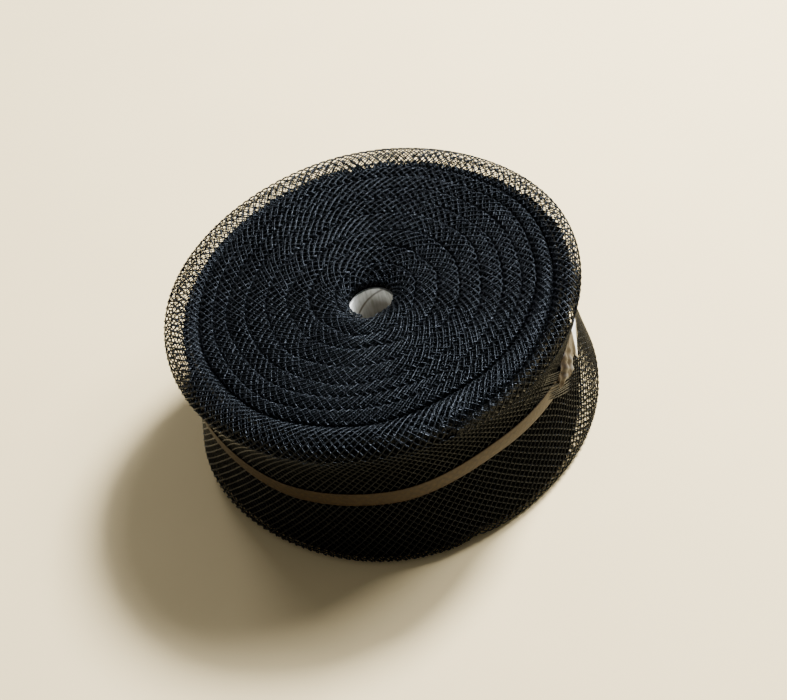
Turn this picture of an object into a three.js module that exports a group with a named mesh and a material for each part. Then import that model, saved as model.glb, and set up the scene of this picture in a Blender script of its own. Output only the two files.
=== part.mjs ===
// Roll of tubular plastic netting for protecting young trees. The flattened sleeve is wound on edge round a
// cardboard core and held at its waist by one strip of packing tape. Millimetres, +Z up. The roll stands on
// its lower face, and the origin is at the bottom centre of its box.
import * as THREE from 'three';
import { mergeVertices } from 'three/addons/utils/BufferGeometryUtils.js';

// Driving dimensions. Angles are degrees anticlockwise from +X, seen from above. The front is at -90.
const RIM_RADIUS = 150;
const LOWER_RIM_RADIUS = 149;
const ROLL_HEIGHT = 127;
const UPPER_RIM_Z = 118;
const LOWER_RIM_Z = 12;
const WAIST_RADIUS = 141.3;
const WAIST_Z = 77;
const WAIST_HALF_BAND = 6.6;
const FACE_DISH = 6;
const FACE_DISH_POWER = 1.5;
const UPPER_GROOVE_DEPTH = 6;
const LOWER_GROOVE_DEPTH = 4;
const MOUTH_RADIUS = 15.8;
const CORE_INNER_RADIUS = 16;
const CORE_OUTER_RADIUS = 19;
const CORE_BOTTOM_Z = 3;
const CORE_TOP_Z = 108;
const TOUCH_GAP = 0.3;
const TAPE_WIDTH = 12;
const TAPE_THICKNESS = 1;
const TAPE_CLEARANCE = 0.4;
const TAPE_START_ANGLE = -20;
const TAPE_LAP_ANGLE = 20;
const TAPE_RISE_ANGLE = 15;
const GATHER_ANGLE = -35;
const GATHER_HEIGHT = 4.5;
const GATHER_HALF_ANGLE = 5.5;
const GATHER_FAN = 0.4;
const FRONT_ANGLE = -90;
const STEPS_PER_TURN = 72;

// How far out the sleeve has been wound after so many turns, clockwise from the front.
const WINDING = [
  { turn: 0, radius: 18.8 },
  { turn: 1, radius: 38 },
  { turn: 2, radius: 52.5 },
  { turn: 3, radius: 69 },
  { turn: 4, radius: 85 },
  { turn: 5, radius: 98 },
  { turn: 6, radius: 109.5 },
  { turn: 7, radius: 121 },
  { turn: 7.75, radius: 129 },
  { turn: 8, radius: 146.5 },
];
const LAST_TURN = 8;
const WINDING_WOBBLES = [
  { height: 0.7, perTurn: 2.3, phase: 0 },
  { height: 0.7, perTurn: 3.1, phase: 57 },
];

// Heights of the rings of points down the side, from the upper rim to the lower one.
const SIDE_LEVELS = [UPPER_RIM_Z, 109, 100, 91, 83.6, 70.4, 58, 43, 27, LOWER_RIM_Z];
const UPPER_FLARE_POWER = 1.7;
const LOWER_FLARE_POWER = 1.35;

const radians = THREE.MathUtils.degToRad;
const clamp = THREE.MathUtils.clamp;
const polar = (radius, angle, z) =>
  new THREE.Vector3(radius * Math.cos(radians(angle)), radius * Math.sin(radians(angle)), z);

// Both rims are a little out of round, the lower one more so.
const UPPER_RIM_WAVES = [
  { height: 0.8, count: 2, peak: 0 },
  { height: 0.6, count: 5, peak: 157 },
];
const LOWER_RIM_WAVES = [
  { height: 0.5, count: 2, peak: 190 },
  { height: 0.9, count: 4, peak: 175 },
  { height: 0.9, count: 5, peak: 187 },
];
const outOfRound = (waves, angle) =>
  waves.reduce((sum, { height, count, peak }) => sum + height * Math.cos(count * radians(angle - peak)), 0);
const upperRimRadius = (angle) => RIM_RADIUS + outOfRound(UPPER_RIM_WAVES, angle);
const lowerRimRadius = (angle) => LOWER_RIM_RADIUS + outOfRound(LOWER_RIM_WAVES, angle);

// Everything runs clockwise from the front in steps, 72 to a turn.
const stepAngle = (step) => FRONT_ANGLE - (360 / STEPS_PER_TURN) * (step % STEPS_PER_TURN);
const ringOf = (pointAt) => Array.from({ length: STEPS_PER_TURN }, (_, step) => pointAt(stepAngle(step)));

// The grooves deepen near the rim, to the rim's own height below the crest.
const DEEPENING_POWER = 10;
const deepening = (depth, rimDepth, radius) =>
  depth + (rimDepth - depth) * Math.min(1, radius / RIM_RADIUS) ** DEEPENING_POWER;

// The two faces. Each turn shows its folded edge as a crest between two grooves: round on top, where the
// face dishes towards the core, and pressed flat below. The crest's rows are at these angles round the fold.
const UPPER_FACE = {
  facesUp: true,
  mouthRadius: MOUTH_RADIUS,
  rimRadius: upperRimRadius,
  rimZ: UPPER_RIM_Z,
  crestZ: (radius) => ROLL_HEIGHT - FACE_DISH * (1 - Math.min(1, radius / RIM_RADIUS)) ** FACE_DISH_POWER,
  grooveZ: (radius) =>
    UPPER_FACE.crestZ(radius) - deepening(UPPER_GROOVE_DEPTH, ROLL_HEIGHT - UPPER_RIM_Z, radius),
  foldAngles: [0, 45, 90, 135],
  foldPower: 0.75,
};
const LOWER_FACE = {
  facesUp: false,
  mouthRadius: CORE_OUTER_RADIUS + TOUCH_GAP,
  rimRadius: lowerRimRadius,
  rimZ: LOWER_RIM_Z,
  crestZ: () => 0,
  grooveZ: (radius) => deepening(LOWER_GROOVE_DEPTH, LOWER_RIM_Z, radius),
  foldAngles: [0, 50, 130],
  foldPower: 0,
};
const NARROWEST_FULL_FOLD = 9;

// Slopes at the winding's rows for a cubic that never runs back, so no turn crosses the next.
const WINDING_SLOPES = WINDING.map((row, i) => {
  const slopeTo = (other) => (other ? (other.radius - row.radius) / (other.turn - row.turn) : 0);
  const before = slopeTo(WINDING[i - 1]);
  const after = slopeTo(WINDING[i + 1]);
  return before && after ? (2 * before * after) / (before + after) : before || after;
});

// Share of the way from the mouth to the rim that is wound after so many turns.
function windingShare(turn) {
  if (turn <= 0) return 0;
  if (turn >= LAST_TURN) return 1;
  const i = WINDING.findIndex((row) => row.turn > turn) - 1;
  const [from, to] = [WINDING[i], WINDING[i + 1]];
  const span = to.turn - from.turn;
  const t = (turn - from.turn) / span;
  const smooth =
    (2 * t ** 3 - 3 * t ** 2 + 1) * from.radius +
    (t ** 3 - 2 * t ** 2 + t) * span * WINDING_SLOPES[i] +
    (3 * t ** 2 - 2 * t ** 3) * to.radius +
    (t ** 3 - t ** 2) * span * WINDING_SLOPES[i + 1];
  const wobble = WINDING_WOBBLES.reduce(
    (sum, { height, perTurn, phase }) => sum + height * Math.sin(radians(360 * perTurn * turn + phase)),
    0,
  );
  const settled = clamp(turn, 0, 1) * clamp(LAST_TURN - turn, 0, 1);
  return (smooth + wobble * settled - MOUTH_RADIUS) / (RIM_RADIUS - MOUTH_RADIUS);
}

// The groove outside a turn: it starts at the mouth, spirals out and ends at the rim.
function groovePoint(face, step) {
  const angle = stepAngle(step);
  const turn = step / STEPS_PER_TURN;
  const radius = face.mouthRadius + (face.rimRadius(angle) - face.mouthRadius) * windingShare(turn);
  return polar(radius, angle, turn >= LAST_TURN ? face.rimZ : face.grooveZ(radius));
}

// A point on a turn's folded edge, from 0 at its inner groove to 180 at its outer one.
function foldPoint(face, step, foldAngle) {
  const inner = groovePoint(face, step - STEPS_PER_TURN);
  const outer = groovePoint(face, step);
  const across = (1 - Math.cos(radians(foldAngle))) / 2;
  const point = inner.clone().lerp(outer, across);
  const fullness = Math.sin(radians(foldAngle)) ** face.foldPower;
  const width = Math.hypot(outer.x - inner.x, outer.y - inner.y);
  const height = foldAngle > 0 ? fullness * Math.min(1, width / NARROWEST_FULL_FOLD) : 0;
  point.z += (face.crestZ(Math.hypot(point.x, point.y)) - point.z) * height;
  return point;
}

// The wall draws in to the waist. The net's end is gathered into a bunch there, which fans out to both rims.
function wallRadius(angle, z) {
  const above = z > WAIST_Z;
  const offBand = Math.max(0, Math.abs(z - WAIST_Z) - WAIST_HALF_BAND);
  const reach = Math.abs((above ? UPPER_RIM_Z : LOWER_RIM_Z) - WAIST_Z) - WAIST_HALF_BAND;
  const share = clamp(offBand / reach, 0, 1);
  const rim = above ? upperRimRadius(angle) : lowerRimRadius(angle);
  const flare = (rim - WAIST_RADIUS) * share ** (above ? UPPER_FLARE_POWER : LOWER_FLARE_POWER);
  const fan = GATHER_HALF_ANGLE + GATHER_FAN * offBand;
  const bunch = GATHER_HEIGHT * Math.exp(-((gatherOffset(angle) / fan) ** 2));
  return WAIST_RADIUS + flare + bunch * (1 - THREE.MathUtils.smoothstep(share, 0, 1));
}

function gatherOffset(angle) {
  return THREE.MathUtils.euclideanModulo(angle - GATHER_ANGLE + 180, 360) - 180;
}

// Adds the triangles of a patch, given as rows of points, all the same length.
function addPatch(corners, rows, closed) {
  rows.slice(1).forEach((row, i) => {
    const last = rows[i];
    for (let j = 0; j < row.length - (closed ? 0 : 1); j += 1) {
      const next = (j + 1) % row.length;
      corners.push(last[j], last[next], row[next], last[j], row[next], row[j]);
    }
  });
}

// Welds the corners of closed patches. Empty triangles, where a turn starts or runs out, are left out.
function weld(corners) {
  const soup = new THREE.BufferGeometry().setFromPoints(corners);
  const welded = mergeVertices(soup, 1e-3);
  const index = Array.from(welded.getIndex().array);
  const kept = [];
  for (let i = 0; i < index.length; i += 3) {
    const triangle = index.slice(i, i + 3);
    if (new Set(triangle).size === 3) kept.push(...triangle);
  }
  welded.setIndex(kept);
  welded.computeVertexNormals();
  return welded;
}

function addFace(corners, face) {
  const rows = [];
  for (let step = 0; step <= (LAST_TURN + 1) * STEPS_PER_TURN; step += 1) {
    const row = face.foldAngles.map((foldAngle) => foldPoint(face, step, foldAngle));
    row.push(groovePoint(face, step));
    rows.push(face.facesUp ? row.reverse() : row);
  }
  addPatch(corners, rows, false);
}

// The wound net, with the hollow that the core fills and the lip that laps over the core's top edge.
function nettingRoll() {
  const corners = [];
  addFace(corners, UPPER_FACE);
  addFace(corners, LOWER_FACE);
  const wall = SIDE_LEVELS.map((z) => ringOf((angle) => polar(wallRadius(angle, z), angle, z)));
  addPatch(corners, wall, true);
  const lipZ = CORE_TOP_Z + TOUCH_GAP;
  const bore = [
    { radius: LOWER_FACE.mouthRadius, z: LOWER_FACE.grooveZ(LOWER_FACE.mouthRadius) },
    { radius: LOWER_FACE.mouthRadius, z: lipZ },
    { radius: MOUTH_RADIUS, z: lipZ },
    { radius: MOUTH_RADIUS, z: UPPER_FACE.grooveZ(MOUTH_RADIUS) },
  ];
  addPatch(corners, bore.map(({ radius, z }) => ringOf((angle) => polar(radius, angle, z))), true);
  return weld(corners);
}

function coreTube() {
  const section = [
    new THREE.Vector2(CORE_INNER_RADIUS, CORE_BOTTOM_Z),
    new THREE.Vector2(CORE_OUTER_RADIUS, CORE_BOTTOM_Z),
    new THREE.Vector2(CORE_OUTER_RADIUS, CORE_TOP_Z),
    new THREE.Vector2(CORE_INNER_RADIUS, CORE_TOP_Z),
    new THREE.Vector2(CORE_INNER_RADIUS, CORE_BOTTOM_Z),
  ];
  return new THREE.LatheGeometry(section, STEPS_PER_TURN).rotateX(Math.PI / 2);
}

// The tape lies on the waist and runs straight from there over the top of the bunch.
function tapeRadius(angle) {
  const onWaist = WAIST_RADIUS + TAPE_CLEARANCE;
  const onBunch = onWaist + GATHER_HEIGHT + 2 * TAPE_CLEARANCE;
  const reach = Math.acos(onWaist / onBunch);
  const offset = Math.abs(radians(gatherOffset(angle)));
  return offset < reach ? onWaist / Math.cos(reach - offset) : onWaist;
}

// One strip, clockwise from its start. Its last stretch laps over its first one across the bunch.
function waistTape() {
  const sweep = 360 + TAPE_LAP_ANGLE;
  const stepCount = sweep / (360 / STEPS_PER_TURN);
  const rows = [];
  for (let i = 0; i <= stepCount; i += 1) {
    const turned = (sweep * i) / stepCount;
    const angle = TAPE_START_ANGLE - turned;
    const lapped = THREE.MathUtils.smoothstep(turned, 360 - TAPE_RISE_ANGLE, 360);
    const inner = tapeRadius(angle) + lapped * (TAPE_THICKNESS + TOUCH_GAP);
    const outer = inner + TAPE_THICKNESS;
    const [bottom, top] = [WAIST_Z - TAPE_WIDTH / 2, WAIST_Z + TAPE_WIDTH / 2];
    rows.push([
      polar(inner, angle, bottom),
      polar(outer, angle, bottom),
      polar(outer, angle, top),
      polar(inner, angle, top),
    ]);
  }
  const corners = [];
  addPatch(corners, rows, true);
  const [first, last] = [rows[0], rows[stepCount]];
  corners.push(first[0], first[2], first[1], first[0], first[3], first[2]);
  corners.push(last[0], last[1], last[2], last[0], last[2], last[3]);
  return weld(corners);
}

const polyethylene = new THREE.MeshStandardMaterial({ color: 0x15191a, roughness: 0.45, metalness: 0 });
const greyBoard = new THREE.MeshStandardMaterial({ color: 0xd4d3c8, roughness: 0.8, metalness: 0 });
const tapeFilm = new THREE.MeshStandardMaterial({ color: 0x8f7f5a, roughness: 0.25, metalness: 0 });

const roll = new THREE.Group();
for (const [name, geometry, material] of [
  ['netting_roll', nettingRoll(), polyethylene],
  ['core_tube', coreTube(), greyBoard],
  ['waist_tape', waistTape(), tapeFilm],
]) {
  const piece = new THREE.Mesh(geometry, material);
  piece.name = name;
  roll.add(piece);
}

// The rims' unevenness moves the box's middle a little off the core's axis.
const box = new THREE.Box3().setFromObject(roll);
const middle = box.getCenter(new THREE.Vector3());
roll.position.set(-middle.x, -middle.y, -box.min.z);

export default roll;
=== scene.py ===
import bpy
import numpy as np
from mathutils import Matrix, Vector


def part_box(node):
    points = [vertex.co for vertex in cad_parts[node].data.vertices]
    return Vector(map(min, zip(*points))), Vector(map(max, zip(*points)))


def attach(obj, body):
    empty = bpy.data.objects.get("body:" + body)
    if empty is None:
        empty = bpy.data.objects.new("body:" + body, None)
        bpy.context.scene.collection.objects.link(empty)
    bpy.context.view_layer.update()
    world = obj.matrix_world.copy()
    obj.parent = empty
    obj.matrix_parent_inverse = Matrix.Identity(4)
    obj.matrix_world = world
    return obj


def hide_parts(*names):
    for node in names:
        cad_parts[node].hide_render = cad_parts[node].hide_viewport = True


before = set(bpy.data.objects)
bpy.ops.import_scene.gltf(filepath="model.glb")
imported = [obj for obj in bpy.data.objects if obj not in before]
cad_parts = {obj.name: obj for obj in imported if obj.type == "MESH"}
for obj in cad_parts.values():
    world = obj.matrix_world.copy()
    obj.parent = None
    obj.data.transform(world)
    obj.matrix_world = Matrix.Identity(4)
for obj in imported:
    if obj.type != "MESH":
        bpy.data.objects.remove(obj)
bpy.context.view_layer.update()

bl_info = {
    "name": "Netting Roll",
    "version": (1, 0, 0),
    "blender": (4, 5, 0),
    "location": "3D View > Sidebar > Netting Roll",
    "description": "Builds the looks of a roll of tree protection netting on its packed solids",
    "category": "Object",
}

CORE_LOW, CORE_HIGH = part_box("core_tube")
TAPE_LOW, TAPE_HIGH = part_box("waist_tape")

# The wound form, in millimetres and degrees, as the solids have it. Angles run anticlockwise from +X, and the
# net is wound clockwise from the front, at -90. A turn number says how far it has been wound.
AXIS = np.array([(CORE_LOW.x + CORE_HIGH.x) / 2, (CORE_LOW.y + CORE_HIGH.y) / 2, 0.0]) * 1000
FRONT_ANGLE = -90
RIM_RADIUS, LOWER_RIM_RADIUS = 150, 149
ROLL_HEIGHT, UPPER_RIM_Z, LOWER_RIM_Z = 127, 118, 12
WAIST_RADIUS, WAIST_Z, WAIST_HALF_BAND = 141.3, 77, 6.6
UPPER_FLARE, LOWER_FLARE = 1.7, 1.35
FACE_DISH, FACE_DISH_POWER = 6, 1.5
UPPER_GROOVE_DEPTH, LOWER_GROOVE_DEPTH = 6, 4
MOUTH_RADIUS, CORE_OUTER_RADIUS = 15.8, 19
GATHER_ANGLE = -37  # where the net's end is drawn together
LAST_TURN, DEEPENING_POWER, NARROWEST_FULL_FOLD = 8, 10, 9
WINDING_TURNS = np.array([0, 1, 2, 3, 4, 5, 6, 7, 7.75, 8])
WINDING_RADII = np.array([18.8, 38, 52.5, 69, 85, 98, 109.5, 121, 129, 146.5])
OUTER_LOOP_RADIUS = 148
FIRST_STRAND_TURN, LAST_STRAND_TURN = 0.1, LAST_TURN + 0.97
# Waves along the winding, each a height in millimetres, its degrees for a turn and its phase: of the grooves'
# radius, of how far a packed fold has sunk under its crest, and of how far it leans over.
GROOVE_WAVES = ((0.7, 828, 0), (0.7, 1116, 57), (0.6, 2052, 60), (0.5, 3276, 130))
SUNK_WAVES, LEAN_WAVES = ((0.35, 1332, 63), (0.25, 2988, 0)), ((0.8, 828, 40), (0.5, 2196, 115))
FILLED_GROOVE = 0.5  # share of a packed groove's depth that the strands bulge over
MOUTH_SLOPE_DEPTH, MOUTH_SLOPE_START, MOUTH_SLOPE_REACH = 4.0, 28, 12  # how the net slopes down to its mouth
# How far the strands' middles lie inside the net's surface: those of the sleeve's outer wall, the joints
# between them, those of its inner wall, and those that fill the inner side of the outermost fold.
OUTER_INSETS, JOINT_INSET, INNER_INSETS, FILLING_INSETS = (0.5, 0.95), 0.74, (1.55, 2.0), (2.5, 2.9)
WALL_CROSSINGS = 34  # half pitches that a strand crosses along the net on its way down the outer wall
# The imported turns: how far they are sunk under the strands, and how much further where the outermost loop is
# hollow, on the upper and on the lower face.
UPPER_SUNK, UPPER_HOLLOW, LOWER_SUNK, LOWER_HOLLOW = 3.6, 6.0, 1.6, 4.0
# Their edge lies this margin inside each rim. The margin widens by lobes, each a width, the angle of its
# middle and its reach, and the lower one widens further on the right.
UPPER_MARGIN, UPPER_MARGIN_LOBES = 12.2, ((2.8, 180, 50), (1.2, 95, 40), (-4.5, -5, 35))
LOWER_MARGIN, LOWER_MARGIN_LOBES = 3.5, ((2.0, 190, 40),)
RIGHT_MARGIN, RIGHT_HALF_WIDTH, RIGHT_FADE = 12.5, 18, 38
FACE_ROWS, WALL_ROWS = 67, 14  # rows of points over a face and down the wall
TAPE_START_ANGLE, TAPE_SLACK_FROM, TAPE_TURNED, TAPE_TAUT_RADIUS = -20, 345, 381, WAIST_RADIUS + 0.4
SAG_ANGLE, SAG_DEPTH, SAG_HALF_WIDTH, SAG_FADE = -113, 9.3, 14, 34  # where the taut tape has slipped down
# Where the tape's end is slack: degrees wound, then how far its lower edge stands out and up from where it
# would lie taut, then the same of its upper edge.
SLACK_TAPE = np.array([
    (0, 0, 0, 0, 0), (345, -0.3, 0, -0.3, 0), (350, -1.2, 0, -1.2, 0), (356, -1.2, 0, -1.2, 1.0),
    (360, -0.7, 0, 0, 3.5), (364, 0.4, -2.0, 0.2, 7), (366.8, 1.9, -3.8, 0.2, 9), (367.8, 0.0, 2.0, 0.2, 10),
    (369.5, 0.2, 0.8, 0.2, 10), (373, 3.6, 2.4, 0.2, 10), (376, 5.0, 4.5, 0.4, 8), (378.5, 3.0, 4.0, 0.8, 5),
    (381, 1.2, 2.0, 1.0, 0),
])
LINING_LAP_ANGLE = 50  # where the lap of the core's lining meets its upper edge
UPPER_WAVES = ((0.8, 2, 0), (0.6, 5, 157))
LOWER_WAVES = ((0.5, 2, 190), (0.9, 4, 175), (0.9, 5, 187))
# The camera: sensor in millimetres, focal length, picture width and shifts in pixels, and the height in
# metres that it aims at.
SENSOR_WIDTH, FOCAL_PIXELS, PICTURE_PIXELS, SHIFT_PIXELS, AIM_HEIGHT = 36.0, 1881.5, 787, (5.745, 6.826), 0.0525


def linear(hex_colour):
    """sRGB hex colour as linear red, green, blue and full alpha."""
    value = np.array([int(hex_colour[i:i + 2], 16) for i in (0, 2, 4)]) / 255
    value = np.where(value <= 0.04045, value / 12.92, ((value + 0.055) / 1.055) ** 2.4)
    return (*(float(v) for v in value), 1.0)


def size_setting(name, description, default, least=0.0002):
    """A length in metres that a user may change."""
    return bpy.props.FloatProperty(name=name, description=description, default=default, min=least,
                                   unit="LENGTH", subtype="DISTANCE", precision=4)


def colour_setting(name, description, hex_colour):
    """A colour that a user may change, given as sRGB hex."""
    return bpy.props.FloatVectorProperty(name=name, description=description, default=linear(hex_colour),
                                         size=4, min=0.0, max=1.0, subtype="COLOR")


class NetSettings(bpy.types.PropertyGroup):
    """Sizes and colours of the extruded net."""

    mesh_pitch: size_setting("Mesh pitch", "Distance between the diamonds along the sleeve", 0.0062, 0.004)
    strand_width: size_setting("Strand width", "Width of one extruded strand", 0.00105, 0.0004)
    knot_length: size_setting("Knot length", "Length of the flat joint where two strands cross", 0.0021, 0.0005)
    colour: colour_setting("Colour", "Black polyethylene where it is thickest", "020303")
    thin_colour: colour_setting("Thin colour", "Black polyethylene where the strand is thin", "090a0b")
    gloss_colour: colour_setting("Gloss colour", "Slightly blue cast that carbon black gives the gloss", "e2efff")


class TapeSettings(bpy.types.PropertyGroup):
    """Sizes and colours of the packing tape round the waist."""

    width: size_setting("Width", "Width of the strip as it lies on the waist", TAPE_HIGH.z - TAPE_LOW.z, 0.004)
    film: size_setting("Film", "Thickness that the strip is drawn with", 0.00024, 0.00005)
    colour: colour_setting("Colour", "Tan adhesive through the taut film", "362914")
    pressed_colour: colour_setting("Pressed colour", "The film where it is pressed on a strand", "1e150d")
    # Mixed in where the film is slack: mostly painted glare where the lifted film faces the key light, partly the
    # crumpled film's own pale look.
    crumple_and_glare_colour: colour_setting("Pale colour", "The film where it is slack and crumpled", "f2f1ea")


class CoreSettings(bpy.types.PropertyGroup):
    """Sizes and colours of the board tube."""

    wall: size_setting("Wall", "Thickness of the tube's wall", 0.003, 0.001)
    ply_width: size_setting("Ply width", "Height that one turn of the spiral-wound board covers", 0.072, 0.01)
    colour: colour_setting("Colour", "Smooth paper that lines the tube", "efeee6")
    fibre_colour: colour_setting("Fibre colour", "Fibres and flecks in the board", "9f9d8e")
    # Real bare board at the lining's lap; lower down in the tube the same colour is painted shade.
    lap_and_shade_colour: colour_setting("Worn colour", "Bare board at the lining's lap and lower down", "4f4434")


class StageSettings(bpy.types.PropertyGroup):
    """The floor, the lights and the camera."""

    floor_colour: colour_setting("Floor colour", "Matt paint of the floor", "f1d8a2")
    key_power: bpy.props.FloatProperty(
        name="Key power", description="Power of the light behind the roll on the right, in watts",
        default=222.0, min=0.0)
    sky_strength: bpy.props.FloatProperty(
        name="Sky strength", description="Strength of the even light from all round", default=0.22, min=0.0)
    elevation: bpy.props.FloatProperty(
        name="Elevation", description="Camera's height angle above the floor",
        default=np.radians(46.958), subtype="ANGLE", unit="ROTATION")
    roll: bpy.props.FloatProperty(
        name="Roll", description="Camera's turn about its own line of sight",
        default=np.radians(-16.336), subtype="ANGLE", unit="ROTATION")
    distance: size_setting("Distance", "From the camera to the point it aims at", 1.37865, 0.3)


def smoothstep(share):
    """Three times the square less twice the cube of a share held between 0 and 1."""
    share = np.clip(share, 0, 1)
    return share * share * (3 - 2 * share)


def out_of_round(waves, angle):
    """Sum of each wave's height times the cosine of its count times the angle from its peak."""
    return sum(height * np.cos(count * np.radians(angle - peak)) for height, count, peak in waves)


def sine_waves(waves, turn):
    """Sum of each wave's height times the sine of its degrees for a turn times the turn, plus its phase."""
    return sum(height * np.sin(np.radians(rate * turn + phase)) for height, rate, phase in waves)


def upper_rim(angle):
    """Radius of the upper rim: a circle with its waves."""
    return RIM_RADIUS + out_of_round(UPPER_WAVES, angle)


def lower_rim(angle):
    """Radius of the lower rim: a circle with its waves."""
    return LOWER_RIM_RADIUS + out_of_round(LOWER_WAVES, angle)


def wound_share(turn):
    """Share of the way from the mouth to the rim that is wound after a turn.

    A cubic through the winding's rows, whose slope at a row is the harmonic mean of the slopes beside it,
    plus four small sine waves. Over the last twentieth of a turn it blends to 1.
    """
    rise = np.diff(WINDING_RADII) / np.diff(WINDING_TURNS)
    slope = np.concatenate([rise[:1], 2 * rise[1:] * rise[:-1] / (rise[1:] + rise[:-1]), rise[-1:]])
    held = np.clip(turn, 0, LAST_TURN)
    i = np.clip(np.searchsorted(WINDING_TURNS, held, "right") - 1, 0, len(rise) - 1)
    span = WINDING_TURNS[i + 1] - WINDING_TURNS[i]
    t = (held - WINDING_TURNS[i]) / span
    smooth = ((2 * t**3 - 3 * t**2 + 1) * WINDING_RADII[i] + (t**3 - 2 * t**2 + t) * span * slope[i]
              + (3 * t**2 - 2 * t**3) * WINDING_RADII[i + 1] + (t**3 - t**2) * span * slope[i + 1])
    wobble = sine_waves(GROOVE_WAVES, held)
    settled = np.clip(held, 0, 1) * np.clip(LAST_TURN - held, 0, 1)
    share = (smooth + wobble * settled - MOUTH_RADIUS) / (RIM_RADIUS - MOUTH_RADIUS)
    share = share + (1 - share) * smoothstep((held - LAST_TURN + 0.05) / 0.05)
    return np.where(turn <= 0, 0.0, share)


def turn_angle(turn):
    """Angle in degrees after a turn: clockwise from the front."""
    return FRONT_ANGLE - 360 * turn


def deepening(depth, rim_depth, radius):
    """A groove's depth, which grows to the rim's own with the tenth power of the radius."""
    return depth + (rim_depth - depth) * np.minimum(1, radius / RIM_RADIUS) ** DEEPENING_POWER


class UpperFace:
    """The face on top: round folds, dished towards the core."""

    mouth, rim, side = MOUTH_RADIUS, staticmethod(upper_rim), 1
    power, packed_power = 0.75, 0.36

    @staticmethod
    def crest(radius):
        return ROLL_HEIGHT - FACE_DISH * (1 - np.minimum(1, radius / RIM_RADIUS)) ** FACE_DISH_POWER

    @staticmethod
    def groove(radius):
        return UpperFace.crest(radius) - deepening(UPPER_GROOVE_DEPTH, ROLL_HEIGHT - UPPER_RIM_Z, radius)


class LowerFace:
    """The face that the roll stands on: folds pressed flat."""

    mouth, rim, side = CORE_OUTER_RADIUS + 0.3, staticmethod(lower_rim), -1
    power, packed_power = 0.4, 0.4

    @staticmethod
    def crest(radius):
        return 0 * radius

    @staticmethod
    def groove(radius):
        return deepening(LOWER_GROOVE_DEPTH, LOWER_RIM_Z, radius)


def groove_radius(face, turn):
    """Radius of the groove outside a turn: the mouth's, and from there the wound share of the way to the rim."""
    return face.mouth + (face.rim(turn_angle(turn)) - face.mouth) * wound_share(turn)


def packed_share(turn):
    """1 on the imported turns, falling smoothly to 0 on the outermost one."""
    return 1 - smoothstep((turn - LAST_TURN + 0.6) / 0.6)


def settling(face, turn):
    """How far a packed fold of the upper face has sunk under its crest and how far it leans over: two sine
    waves each along the winding. The outermost turn and the lower face keep their crest."""
    packed = packed_share(turn) * (face.side > 0)
    return packed * (0.6 + sine_waves(SUNK_WAVES, turn)), packed * sine_waves(LEAN_WAVES, turn)


def mouth_slope(face, radius):
    """How far the upper face slopes down to its mouth."""
    return MOUTH_SLOPE_DEPTH * (face.side > 0) * smoothstep((MOUTH_SLOPE_START - radius) / MOUTH_SLOPE_REACH)


def fold_power(face, turn):
    """Power of the sine with which a turn's fold rises from groove to crest."""
    return face.power + (face.packed_power - face.power) * packed_share(turn)


def fold_section(face, turn, around, drop, inset, reach=1.0):
    """Radius and height on a turn's folded edge.

    Around runs from 0 at the inner groove to 180 at the outer one. The radius moves between them with half of
    one less its cosine, and the height rises from groove to crest with a power of its sine, a lower one where
    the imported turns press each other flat. Drop is how far the two legs go down from there, inset how far the
    strand's own middle lies inside the fold, and reach the share of the outermost fold's width that it covers.
    """
    inner, outer = groove_radius(face, turn - 1), groove_radius(face, turn)
    outer = outer - (outer - inner) * (1 - reach) * smoothstep((turn - LAST_TURN + 0.1) / 0.2)
    gap = np.minimum(0.4 + 0.5 * np.maximum(0, inset - 1), 0.25 * (outer - inner))
    across = (1 - np.cos(np.radians(around))) / 2
    outer_gap = np.where((turn >= LAST_TURN) & (reach == 1), inset, gap)
    radius = (inner + gap) + (outer - outer_gap - inner - gap) * across
    low = face.groove(inner) * (1 - across) + face.groove(outer) * across
    low = low + (face.crest(radius) - low) * FILLED_GROOVE * packed_share(turn) * (face.side > 0)
    fullness = np.sin(np.radians(around)) ** fold_power(face, turn)
    fullness = fullness * np.minimum(1, (outer - inner) / NARROWEST_FULL_FOLD)
    sunk, lean = settling(face, turn)
    z = low + (face.crest(radius) - face.side * (inset + sunk + lean * (across - 0.5)) - low) * fullness
    return radius, z - face.side * (drop + mouth_slope(face, radius))


def offset_from(angle, centre):
    """Degrees from a centre to an angle, between -180 and 180."""
    return (angle - centre + 180) % 360 - 180


def wall_share(z):
    """How far a height is off the waist's band, as a share of the way to the rim above or below it."""
    off = np.maximum(0, np.abs(z - WAIST_Z) - WAIST_HALF_BAND)
    reach = np.abs(np.where(z > WAIST_Z, UPPER_RIM_Z, LOWER_RIM_Z) - WAIST_Z) - WAIST_HALF_BAND
    return off, np.clip(off / reach, 0, 1)


def wall_radius(angle, z):
    """Radius of the outer wall: the waist's, plus a power of the share of the way to the rim times the flare."""
    share = wall_share(z)[1]
    rim = np.where(z > WAIST_Z, upper_rim(angle), lower_rim(angle))
    return WAIST_RADIUS + (rim - WAIST_RADIUS) * share ** np.where(z > WAIST_Z, UPPER_FLARE, LOWER_FLARE)


def gathered(angle, z):
    """Angle after the net is drawn towards the gathered place: its offset shrinks by a bell curve of itself,
    most at the waist and not at all at the rims, and over a wider arc above the waist than below."""
    offset = offset_from(angle, GATHER_ANGLE)
    share = wall_share(z)[1]
    reach = np.where(z > WAIST_Z, 16.0, 11.0)
    drawn = 0.35 * np.exp(-((offset / reach) ** 2)) * (1 - smoothstep(share))
    return GATHER_ANGLE + offset * (1 - drawn)


def polar(radius, angle, z):
    """Points in millimetres from radius, angle in degrees and height, round the core's axis."""
    radius, angle, z = np.broadcast_arrays(radius, np.radians(angle), z)
    return np.stack([radius * np.cos(angle), radius * np.sin(angle), z], -1) + AXIS


TABLE_TURNS = np.linspace(-0.2, LAST_TURN + 1.2, 4000)


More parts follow.
